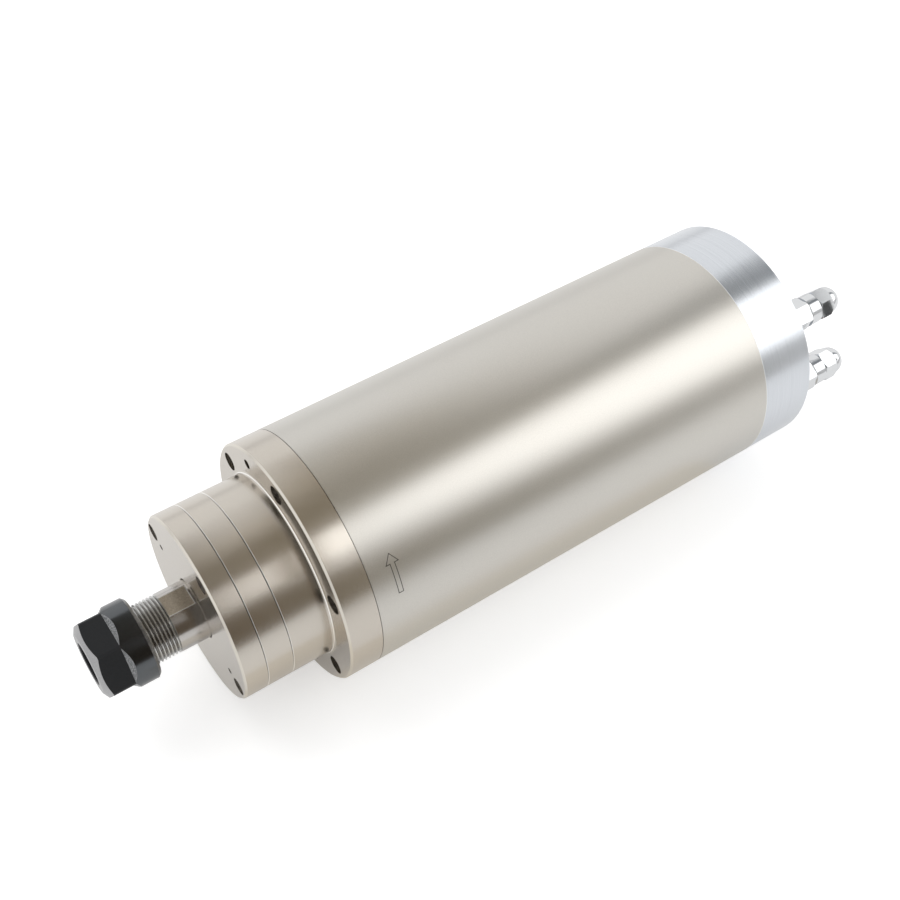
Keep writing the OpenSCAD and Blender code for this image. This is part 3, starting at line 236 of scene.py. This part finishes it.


# The chamfer colours below are painted light: a highlight on the chamfers that face the nose, a weaker
# highlight on the wide ones, and shade on those that face the rear.
blastedLooks = {
    "tube_steel": dict(dark=(0.595, 0.575, 0.535), light=(0.675, 0.65, 0.605), cloud=(0.635, 0.62, 0.58),
                       grainScale=2600, cloudScale=26, cloudShare=0.5, gloss=(0.30, 0.38), bump=0.10,
                       chamferHighlight=(0.90, 0.88, 0.84), chamferShade=(0.10, 0.09, 0.08)),
    "nose_nickel": dict(dark=(0.565, 0.52, 0.46), light=(0.645, 0.60, 0.54), cloud=(0.61, 0.575, 0.52),
                        grainScale=3000, cloudScale=30, cloudShare=0.5, gloss=(0.20, 0.27), bump=0.10,
                        ringScale=2200, ringShare=1.5,
                        chamferHighlight=(0.95, 0.93, 0.89), chamferShade=(0.07, 0.06, 0.05),
                        wideEdges=(-153.1 * mm, -114.1 * mm), wideEdgeHighlight=(0.70, 0.66, 0.59)),
}
turnedLooks = {
    # The cover's chamfers that face the nose carry a painted highlight.
    "cover_aluminium": dict(dark=(0.64, 0.665, 0.70), light=(0.72, 0.745, 0.78), ringScale=5000,
                            gloss=(0.20, 0.26), bump=0.10, chamferHighlight=(0.92, 0.93, 0.94)),
    "collet_steel": dict(dark=(0.50, 0.50, 0.50), light=(0.62, 0.62, 0.62), ringScale=6000,
                         gloss=(0.2, 0.3), bump=0.10),
    "fitting_chrome": dict(dark=(0.68, 0.69, 0.70), light=(0.74, 0.75, 0.76), ringScale=6000,
                           gloss=(0.07, 0.12), bump=0.04),
    "connector_nickel": dict(dark=(0.60, 0.61, 0.62), light=(0.68, 0.69, 0.70), ringScale=6000,
                             gloss=(0.16, 0.24), bump=0.06),
    "jacket_aluminium": dict(dark=(0.52, 0.54, 0.56), light=(0.62, 0.64, 0.66), ringScale=3500,
                             gloss=(0.28, 0.4), bump=0.2),
    "seat_aluminium": dict(dark=(0.50, 0.51, 0.52), light=(0.60, 0.61, 0.62), ringScale=3500,
                           gloss=(0.28, 0.4), bump=0.2),
    "ring_brass": dict(dark=(0.60, 0.44, 0.19), light=(0.72, 0.54, 0.26), ringScale=5000,
                       gloss=(0.2, 0.3), bump=0.12),
    "washer_copper": dict(dark=(0.60, 0.33, 0.22), light=(0.72, 0.42, 0.29), ringScale=5000,
                          gloss=(0.25, 0.35), bump=0.10),
    "bearing_steel": dict(dark=(0.56, 0.56, 0.57), light=(0.64, 0.64, 0.65), ringScale=8000,
                          gloss=(0.10, 0.18), bump=0.05),
    "locknut_black": dict(dark=(0.035, 0.036, 0.038), light=(0.06, 0.061, 0.064), ringScale=5000,
                          gloss=(0.34, 0.44), metal=0, bump=0.12),
    "spring_steel": dict(dark=(0.28, 0.27, 0.26), light=(0.36, 0.35, 0.34), ringScale=5000,
                         gloss=(0.25, 0.35), bump=0.08),
}
mottledLooks = {
    "cast_aluminium": dict(dark=(0.56, 0.57, 0.58), light=(0.68, 0.69, 0.70), scale=900, gloss=(0.4, 0.55),
                           metal=1, bump=0.3),
    "core_iron": dict(dark=(0.17, 0.17, 0.18), light=(0.27, 0.27, 0.28), scale=1600, gloss=(0.4, 0.55),
                      metal=1, bump=0.2),
    "winding_copper": dict(dark=(0.36, 0.13, 0.045), light=(0.55, 0.22, 0.08), scale=1200, gloss=(0.25, 0.4),
                           metal=0.6, bump=0.5),
    "ball_chrome": dict(dark=(0.60, 0.60, 0.61), light=(0.66, 0.66, 0.67), scale=900, gloss=(0.05, 0.08),
                        metal=1, bump=0),
    "screw_steel": dict(dark=(0.20, 0.20, 0.205), light=(0.30, 0.30, 0.305), scale=2500, gloss=(0.22, 0.34),
                        metal=1, bump=0.08),
    "cage_fibre": dict(dark=(0.33, 0.22, 0.10), light=(0.43, 0.30, 0.15), scale=1500, gloss=(0.5, 0.65),
                       bump=0.2),
    "seal_rubber": dict(dark=(0.012, 0.012, 0.013), light=(0.025, 0.025, 0.026), scale=1500,
                        gloss=(0.5, 0.65), bump=0.15),
    "insulator_black": dict(dark=(0.016, 0.016, 0.018), light=(0.028, 0.028, 0.03), scale=1500,
                            gloss=(0.35, 0.45), bump=0.10),
    "pin_gold": dict(dark=(0.72, 0.50, 0.19), light=(0.80, 0.58, 0.25), scale=2000, gloss=(0.14, 0.22),
                     metal=1, bump=0.03),
    "lead_red": dict(dark=(0.40, 0.020, 0.014), light=(0.50, 0.032, 0.022), scale=800, gloss=(0.35, 0.5),
                     bump=0.08),
}

# The shaft is ground round, with milled spanner flats and a thread.
# The roots of the thread are painted dark as shade, and the edges and the end of the flats carry a painted
# highlight.
shaftLook = dict(round=(0.50, 0.48, 0.46), roundLight=(0.57, 0.55, 0.53), ground=(0.46, 0.40, 0.32),
                 groundLight=(0.64, 0.575, 0.48), rim=(0.90, 0.88, 0.84), rootShade=(0.26, 0.25, 0.24),
                 thread=(0.64, 0.64, 0.63), gloss=(0.16, 0.24), threadGloss=0.03, flatGloss=0.22,
                 flatZ=11.5 * mm, flatX=-159.95 * mm, flatHalf=5.45 * mm, rimRadius=12.36 * mm,
                 rimWidth=0.25 * mm, threadEnd=-165.4 * mm, rootRadius=11.75 * mm, ringScale=6000,
                 grainScale=1500, bump=0.04)


def shaftFinish(name, look):
    material, shader = newMaterial(name)
    point = objectPoint(material)
    place = parted(material, point)
    x, height = place["X"], maths(material, place["Z"], "ABSOLUTE")
    radius = parted(material, turnedPoint(material, point, 1.0, 1.0))["Y"]
    rings = noiseAt(material, turnedPoint(material, point, look["ringScale"], 0), 1.0, 2.0)
    grain = ranged(material, noiseAt(material, point, look["grainScale"], 4.0), 0, 1)
    onFlat = maths(material, near(material, height, look["flatZ"], touch), "MULTIPLY",
                   near(material, x, look["flatX"], look["flatHalf"] + touch))
    # Painted highlight along the edges of the flats and at their end by the step
    rimStart = look["flatX"] + look["flatHalf"] - look["rimWidth"]
    rim = maths(material, maths(material, radius, "GREATER_THAN", look["rimRadius"]), "MAXIMUM",
                maths(material, x, "GREATER_THAN", rimStart))
    ahead = maths(material, x, "LESS_THAN", look["threadEnd"])
    # Painted shade in the roots of the thread
    rootShade = maths(material, ahead, "MULTIPLY", maths(material, radius, "LESS_THAN", look["rootRadius"]))
    ground = blendColours(material, grain, look["ground"], look["groundLight"])
    colour = blendColours(material, ranged(material, rings, 0, 1), look["round"], look["roundLight"])
    colour = blendColours(material, ahead, colour, look["thread"])
    colour = blendColours(material, rootShade, colour, look["rootShade"])
    colour = blendColours(material, onFlat, colour, ground)
    colour = blendColours(material, maths(material, onFlat, "MULTIPLY", rim), colour, look["rim"])
    join(material, colour, shader.inputs["Base Color"])
    smooth = ranged(material, rings, *look["gloss"])
    for where, more in ((onFlat, look["flatGloss"]), (ahead, look["threadGloss"])):
        smooth = maths(material, smooth, "ADD", maths(material, where, "MULTIPLY", more))
    join(material, smooth, shader.inputs["Roughness"])
    shader.inputs["Metallic"].default_value = 1
    bumped(material, shader, grain, look["bump"])
    return material


# The nut is blackened all over. Its front cone is rubbed bare, the slopes behind its flats are left as
# milled, and its collar is a little lighter.
nutLook = dict(black=(0.016, 0.017, 0.018), blackLight=(0.024, 0.025, 0.027), worn=(0.34, 0.34, 0.345),
               wornLight=(0.44, 0.44, 0.445), milled=(0.14, 0.145, 0.15), milledLight=(0.34, 0.345, 0.35),
               collar=(0.112, 0.119, 0.125), collarLight=(0.124, 0.131, 0.138), gloss=(0.30, 0.36),
               collarGloss=-0.13, shine=0.22, bump=0.03, hexEnd=-186.8 * mm, slopeRadius=14.9 * mm,
               collarRadius=16.97 * mm, frontX=-198.2 * mm, coneRadius=12.47 * mm, coneRise=1.881,
               openRadius=8.6 * mm, grainScale=2600, millScale=1900)


def nutFinish(name, look):
    material, shader = newMaterial(name)
    point = objectPoint(material)
    place = parted(material, turnedPoint(material, point, 1.0, 1.0))
    x, radius = place["X"], place["Y"]
    grain = ranged(material, noiseAt(material, point, look["grainScale"], 2.0), 0, 1)
    mill = ranged(material, noiseAt(material, point, look["millScale"], 3.0), 0, 1, 0.4, 0.6)
    rise = maths(material, maths(material, x, "SUBTRACT", look["frontX"]), "MULTIPLY", look["coneRise"])
    onCone = maths(material, radius, "GREATER_THAN", maths(material, rise, "ADD", look["coneRadius"]))
    onFace = maths(material, x, "LESS_THAN", look["frontX"] + touch)
    front = maths(material, maths(material, onCone, "MAXIMUM", onFace), "MULTIPLY",
                  maths(material, radius, "GREATER_THAN", look["openRadius"]))
    behind = maths(material, x, "GREATER_THAN", look["hexEnd"])
    collar = maths(material, behind, "MULTIPLY",
                   maths(material, radius, "GREATER_THAN", look["collarRadius"]))
    slope = maths(material, behind, "MULTIPLY", maths(material, radius, "LESS_THAN", look["collarRadius"]))
    slope = maths(material, slope, "MULTIPLY", maths(material, radius, "GREATER_THAN", look["slopeRadius"]))
    colour = blendColours(material, grain, look["black"], look["blackLight"])
    for where, pattern, tone in ((collar, grain, "collar"), (slope, mill, "milled"), (front, grain, "worn")):
        toned = blendColours(material, pattern, look[tone], look[tone + "Light"])
        colour = blendColours(material, where, colour, toned)
    join(material, colour, shader.inputs["Base Color"])
    bare = maths(material, front, "MAXIMUM", maths(material, slope, "MAXIMUM", collar))
    join(material, bare, shader.inputs["Metallic"])
    satin = ranged(material, grain, *look["gloss"], 0, 1)
    smooth = maths(material, satin, "ADD", maths(material, collar, "MULTIPLY", look["collarGloss"]))
    join(material, smooth, shader.inputs["Roughness"])
    shader.inputs["Specular IOR Level"].default_value = look["shine"]
    bumped(material, shader, grain, look["bump"])
    return material


finishes = {"nut_black": nutFinish("nutBlack", nutLook), "shaft_steel": shaftFinish("shaftSteel", shaftLook)}
for looks, makeFinish in ((blastedLooks, blastedMetal), (turnedLooks, turnedMetal), (mottledLooks, mottled)):
    for slotName, look in looks.items():
        finishes[slotName] = makeFinish(slotName, look)
for node in nodes.values():
    slotName = node.data.materials[0].name.split(".")[0]
    for materialSlot in node.material_slots:
        materialSlot.material = finishes[slotName]
print("finishes:", len(finishes), "on", len(nodes), "nodes")


# Thread behind the collet nut, one ridge wound round the shaft's plain core
thread = dict(start=-187.5 * mm, end=-165.4 * mm, rootRadius=11.5 * mm, crestRadius=12.5 * mm,
              pitch=1.5 * mm, rootWidth=1.36 * mm, crestWidth=0.22 * mm, stepsPerTurn=72)


def buildThread(t):
    bm = bmesh.new()
    turns = (t["end"] - t["start"]) / t["pitch"] + 2  # a turn more at each end, which the cuts take off
    x = t["start"] - t["pitch"]
    profile = [(x - t["rootWidth"] / 2, t["rootRadius"]), (x - t["crestWidth"] / 2, t["crestRadius"]),
               (x + t["crestWidth"] / 2, t["crestRadius"]), (x + t["rootWidth"] / 2, t["rootRadius"])]
    corners = [bm.verts.new((px, 0, pr)) for px, pr in profile]
    ring = [bm.edges.new((corners[i], corners[(i + 1) % 4])) for i in range(4)]
    bmesh.ops.spin(bm, geom=corners + ring, cent=(0, 0, 0), axis=(1, 0, 0),
                   dvec=(t["pitch"] / t["stepsPerTurn"], 0, 0), angle=math.radians(360) * turns,
                   steps=int(round(turns * t["stepsPerTurn"])), use_merge=False, use_duplicate=False)
    for place, away in ((t["start"], -1), (t["end"], 1)):
        cut = bmesh.ops.bisect_plane(bm, geom=bm.verts[:] + bm.edges[:] + bm.faces[:],
                                     plane_co=(place, 0, 0), plane_no=(away, 0, 0), clear_outer=True)
        rims = [item for item in cut["geom_cut"] if isinstance(item, bmesh.types.BMEdge)]
        bmesh.ops.holes_fill(bm, edges=rims, sides=0)
    return bm


finishMesh("shaftThread", buildThread(thread), "rotor", finishes["shaft_steel"])
print("thread wound")


# The hose nuts are set to the angles that they were tightened to, each turned about its own axis.
hoseNuts = {"water_inlet_nut": dict(piece="inletHoseNut", body="inlet_nut", turn=17),
            "water_outlet_nut": dict(piece="outletHoseNut", body="outlet_nut", turn=-8)}


def turnHoseNut(nodeName, nut):
    low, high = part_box(nodeName)
    middle = [(a + b) / 2 for a, b in zip(low, high)]
    bm = bmesh.new()
    bm.from_mesh(nodes[nodeName].data)
    bmesh.ops.remove_doubles(bm, verts=bm.verts, dist=0.001 * mm)
    turn = Matrix.Rotation(math.radians(nut["turn"]), 3, "X")
    bmesh.ops.rotate(bm, verts=bm.verts, cent=middle, matrix=turn)
    piece = finishMesh(nut["piece"], bm, nut["body"], finishes["fitting_chrome"])
    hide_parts(nodeName)


for nodeName, nut in hoseNuts.items():
    turnHoseNut(nodeName, nut)
print("hose nuts turned")


# Outlined arrow that shows the direction of turning, filled into the tube's surface
arrow = dict(station=-89.3 * mm, tubeRadius=52.5 * mm, tail=66.2, tip=47.0, headBase=52.0,
             headWidth=6.0 * mm, shaftWidth=2.3 * mm, line=0.32 * mm, stand=0.015 * mm, depth=0.1 * mm,
             longEdge=3 * mm, cuts=10, colour=(0.06, 0.053, 0.045), gloss=0.5)


# The outline is drawn flat, cut along its long edges, given its depth and then wrapped round the tube.
def buildArrow(a):
    bm = bmesh.new()
    h, s = a["headWidth"] / 2, a["shaftWidth"] / 2
    outline = [(-s, a["tail"]), (-s, a["headBase"]), (-h, a["headBase"]), (0, a["tip"]),
               (h, a["headBase"]), (s, a["headBase"]), (s, a["tail"])]
    flat = [bm.verts.new((x, math.radians(angle) * a["tubeRadius"], 0)) for x, angle in outline]
    face = bm.faces.new(flat)
    bm.normal_update()
    bmesh.ops.inset_region(bm, faces=[face], thickness=a["line"], use_boundary=True, use_even_offset=True)
    bmesh.ops.delete(bm, geom=[face], context="FACES")
    longEdges = [edge for edge in bm.edges if edge.calc_length() > a["longEdge"]]
    bmesh.ops.subdivide_edges(bm, edges=longEdges, cuts=a["cuts"])
    bmesh.ops.triangulate(bm, faces=bm.faces)
    bm.normal_update()
    bmesh.ops.solidify(bm, geom=bm.faces[:], thickness=a["depth"])
    for vert in bm.verts:
        radius = a["tubeRadius"] + a["stand"] - abs(vert.co.z)
        vert.co = aroundAxis(a["station"] + vert.co.x, radius, math.degrees(vert.co.y / a["tubeRadius"]))
    return bm


arrowMark, arrowShader = newMaterial("arrowMark")
arrowShader.inputs["Base Color"].default_value = (*arrow["colour"], 1)
arrowShader.inputs["Roughness"].default_value = arrow["gloss"]
finishMesh("turningArrow", buildArrow(arrow), "housing", arrowMark, 40)
print("arrow marked")


# Studio: pale floor, a soft lamp, one long soft box over the motor, brown flags along it
studio = dict(floorZ=-52.5 * mm, floorSide=14.0, floorColour=0.86, world=0.62, background=1.0,
              cameraGlow=0.40, glossyGlow=0.10, boxStrength=1.85, boxDistance=1.0, flagDistance=0.98,
              lampPlace=(-0.25, 0.42, 0.80), lampSide=0.7, lampPower=3.5)
# Each strip is given by its edges, as angles from the top towards the camera, at stations along the
# motor. A flag's colour changes along the motor too.
softBoxEdges = ((0.035, 20, 51), (0.075, 21, 51), (0.15, 25, 44), (0.46, 19, 54), (0.88, 10, 65),
                (2.2, 10, 65))
flags = (
    dict(edges=((-0.55, -52, 15), (-0.04, -50, 15), (0.01, -36, 20), (0.06, 2, 23), (0.11, -18, 26),
                (0.15, -58, 23), (0.46, 2, 17), (0.91, -30, 6), (0.93, -12, 4), (4, -12, 4)),
         colours=((-0.55, (0.10, 0.085, 0.065)), (-0.09, (0.06, 0.055, 0.05)), (-0.03, (0.44, 0.40, 0.34)),
                  (0.15, (0.345, 0.295, 0.21)), (0.46, (0.405, 0.375, 0.31)), (0.88, (0.35, 0.37, 0.39)))),
    dict(edges=((0.045, 55, 92), (0.06, 55, 92), (0.10, 50, 90), (0.15, 57, 87), (0.46, 66, 92),
                (0.88, 70, 90), (4, 70, 90)),
         colours=((0.06, (0.29, 0.245, 0.185)), (0.10, (0.17, 0.135, 0.095)), (0.15, (0.40, 0.36, 0.285)),
                  (0.46, (0.375, 0.35, 0.295)), (0.88, (0.70, 0.70, 0.70)))),
    dict(edges=((-0.55, 15, 117), (-0.10, 15, 117), (-0.04, 15, 99), (0.045, 15, 99)),
         colours=((-0.55, (0.10, 0.085, 0.065)), (-0.09, (0.06, 0.055, 0.05)), (-0.03, (0.19, 0.14, 0.09)))))
# A small shade beside the nose takes the soft box out of the nose housing's mirror image.
nearShade = dict(edges=((-0.105, 24, 50), (-0.0925, 24, 50)), distance=0.13, colour=(0.42, 0.37, 0.305))
# Cards on the floor and beside the fittings, seen only in the metal. The grey card on the floor glows a
# little and paints the floor's shade beside the motor into the underside's reflection. The black card beside
# the fittings gives their flats a dark reflection.
cards = (dict(middle=(-0.035, -0.065, -52.2 * mm), along=(0.27, 0, 0), across=(0, 0.07, 0),
              colour=(0.60, 0.56, 0.49), glow=0.28),
         dict(middle=(0.1758, -0.0671, 0.0253), along=(0.0042, 0.0036, 0), across=(0.0011, -0.0013, 0.0095),
              colour=(0.06, 0.06, 0.06), glow=0.02))
camera = dict(place=(-0.234002, -0.255816, 0.431547), right=(0.82311144, -0.56582251, 0.04829543),
              up=(0.42128178, 0.66544148, 0.61620557), back=(-0.38080076, -0.48685987, 0.78610321),
              lens=50.73, sensor=36)


def addCamera(c):
    lens = bpy.data.cameras.new("camera")
    lens.lens, lens.sensor_width = c["lens"], c["sensor"]
    lens.clip_start, lens.clip_end = 0.01, 50
    item = bpy.data.objects.new("camera", lens)
    bpy.context.scene.collection.objects.link(item)
    turn = Matrix((c["right"], c["up"], c["back"])).transposed()
    item.matrix_world = Matrix.Translation(c["place"]) @ turn.to_4x4()
    bpy.context.scene.camera = item


# The world is brighter where the camera or the metal sees it than where it lights.
def addWorld(s):
    world = bpy.data.worlds.new("studio")
    world.use_nodes = True
    bpy.context.scene.world = world
    background = world.node_tree.nodes["Background"]
    background.inputs["Color"].default_value = (1, 1, 1, 1)
    paths = addNode(world, "ShaderNodeLightPath").outputs
    seen = maths(world, paths["Is Camera Ray"], "MAXIMUM", paths["Is Glossy Ray"])
    seen = maths(world, seen, "MAXIMUM", paths["Is Transmission Ray"])
    join(world, ranged(world, seen, s["world"], s["background"], 0, 1), background.inputs["Strength"])


# Matt cloth or paper, with a glow of its own where it needs one
def newCloth(name, colour=(0, 0, 0), glowColour=(1, 1, 1), glow=0):
    material, shader = newMaterial(name)
    shader.inputs["Base Color"].default_value = (*colour, 1)
    shader.inputs["Roughness"].default_value = 1
    shader.inputs["Specular IOR Level"].default_value = 0
    shader.inputs["Emission Color"].default_value = (*glowColour, 1)
    shader.inputs["Emission Strength"].default_value = glow
    return material, shader


# onlyMirrored: seen in the metal alone, with no light or shadow thrown
def stagePiece(name, bm, material, onlyMirrored=False):
    mesh = bpy.data.meshes.new(name)
    bm.to_mesh(mesh)
    bm.free()
    mesh.materials.append(material)
    piece = bpy.data.objects.new(name, mesh)
    bpy.context.scene.collection.objects.link(piece)
    if onlyMirrored:
        piece.visible_camera = piece.visible_diffuse = False
        piece.visible_shadow = piece.visible_transmission = False
    return piece


def addStrip(name, edges, distance, material, onlyMirrored=True):
    bm = bmesh.new()
    bmesh.ops.create_grid(bm, x_segments=len(edges) - 1, y_segments=8, size=0.5)
    for vert in bm.verts:
        x, low, high = edges[round((vert.co.x + 0.5) * (len(edges) - 1))]
        vert.co = aroundAxis(x, distance, low + (high - low) * (vert.co.y + 0.5))
    return stagePiece(name, bm, material, onlyMirrored)


def addFlags(s, cloths):
    for i, cloth in enumerate(cloths):
        material, shader = newCloth(f"flagCloth{i}")
        colours = cloth["colours"]
        low, high = colours[0][0], colours[-1][0]
        ramp = addNode(material, "ShaderNodeValToRGB")
        for j, (x, colour) in enumerate(colours):
            spot = (x - low) / (high - low)
            stop = ramp.color_ramp.elements[j] if j < 2 else ramp.color_ramp.elements.new(spot)
            stop.position, stop.color = spot, (*colour, 1)
        x = parted(material, objectPoint(material))["X"]
        join(material, ranged(material, x, 0, 1, low, high), ramp.inputs["Fac"])
        join(material, ramp.outputs["Color"], shader.inputs["Base Color"])
        addStrip(f"flag{i}", cloth["edges"], s["flagDistance"], material)


def addCards(pieces):
    for i, card in enumerate(pieces):
        material = newCloth(f"cardPaper{i}", card["colour"], glow=card["glow"])[0]
        bm = bmesh.new()
        bmesh.ops.create_grid(bm, x_segments=1, y_segments=1, size=0.5)
        for vert in bm.verts:
            vert.co = (Vector(card["middle"]) + vert.co.x * Vector(card["along"])
                       + vert.co.y * Vector(card["across"]))
        stagePiece(f"card{i}", bm, material, True)


def addLamp(s):
    light = bpy.data.lights.new("softLamp", "AREA")
    light.size, light.energy = s["lampSide"], s["lampPower"]
    lamp = bpy.data.objects.new("softLamp", light)
    bpy.context.scene.collection.objects.link(lamp)
    lamp.location = s["lampPlace"]
    lamp.rotation_euler = (-Vector(s["lampPlace"])).to_track_quat("-Z", "Y").to_euler()
    lamp.visible_camera = lamp.visible_glossy = lamp.visible_transmission = False


# The floor glows a little for the camera and less in the metal, and keeps the motor's shadow.
def addFloor(s):
    material, shader = newCloth("floorPaper", [s["floorColour"]] * 3)
    paths = addNode(material, "ShaderNodeLightPath").outputs
    seen = maths(material, paths["Is Camera Ray"], "MULTIPLY", s["cameraGlow"])
    mirrored = maths(material, paths["Is Glossy Ray"], "MULTIPLY", s["glossyGlow"])
    join(material, maths(material, seen, "ADD", mirrored), shader.inputs["Emission Strength"])
    bm = bmesh.new()
    bmesh.ops.create_grid(bm, x_segments=1, y_segments=1, size=s["floorSide"] / 2)
    bmesh.ops.translate(bm, vec=(0, 0, s["floorZ"]), verts=bm.verts)
    stagePiece("floor", bm, material)


addCamera(camera)
addWorld(studio)
boxCloth = newCloth("softBoxCloth", glow=studio["boxStrength"])[0]
addStrip("softBox", softBoxEdges, studio["boxDistance"], boxCloth, False).visible_camera = False
addFlags(studio, flags)
shadeCloth = newCloth("shadeCloth", glowColour=nearShade["colour"], glow=1)[0]
addStrip("nearShade", nearShade["edges"], nearShade["distance"], shadeCloth)
addCards(cards)
addLamp(studio)
addFloor(studio)
bpy.context.scene.view_settings.view_transform = "Standard"
print("studio set")
